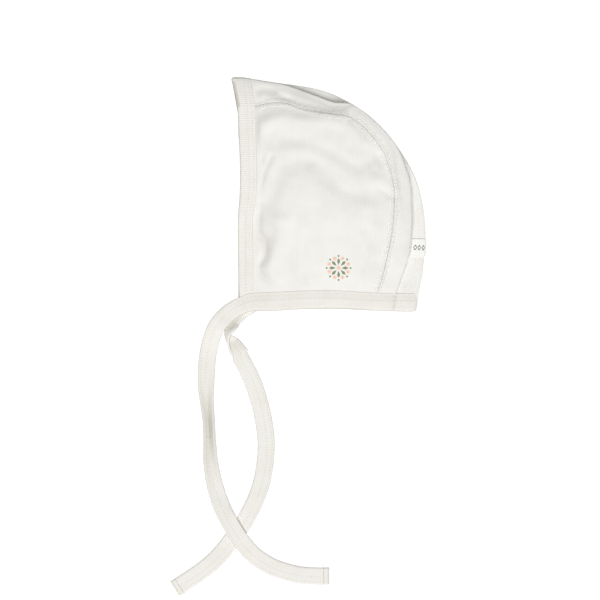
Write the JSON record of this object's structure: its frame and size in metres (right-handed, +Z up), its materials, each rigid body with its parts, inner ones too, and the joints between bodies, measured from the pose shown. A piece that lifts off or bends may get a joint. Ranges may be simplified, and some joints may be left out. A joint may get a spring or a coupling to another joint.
{
  "type": "baby bonnet",
  "caption": "Soft jersey baby bonnet lying flat on its side, with a ribbed binding, flat seams, a small woven label and two long free ties.",
  "frame": {"origin": "on the table under the middle of the bonnet's box, measured without the two ties", "axes": "+Z up from the table, +Y from the neck edge to the crown, -X out of the face opening; the wearer's left side is on top"},
  "size_m": [0.2, 0.4046, 0.0261],
  "materials": {
    "panel_left": "soft cotton jersey, off-white",
    "panel_right": "soft cotton jersey, off-white",
    "strip": "soft cotton jersey, off-white",
    "binding_face": "ribbed cotton jersey, off-white",
    "binding_neck": "ribbed cotton jersey, off-white",
    "tie_left": "ribbed cotton jersey, off-white",
    "tie_right": "ribbed cotton jersey, off-white",
    "label": "smooth woven ribbon, white"
  },
  "bodies": {
    "root": {"side_panel_left": "panel_left", "side_panel_right": "panel_right", "crown_strip": "strip", "face_binding": "binding_face", "neck_binding": "binding_neck", "tie_left": "tie_left", "tie_right": "tie_right", "back_label": "label"}
  },
  "joints": []
}
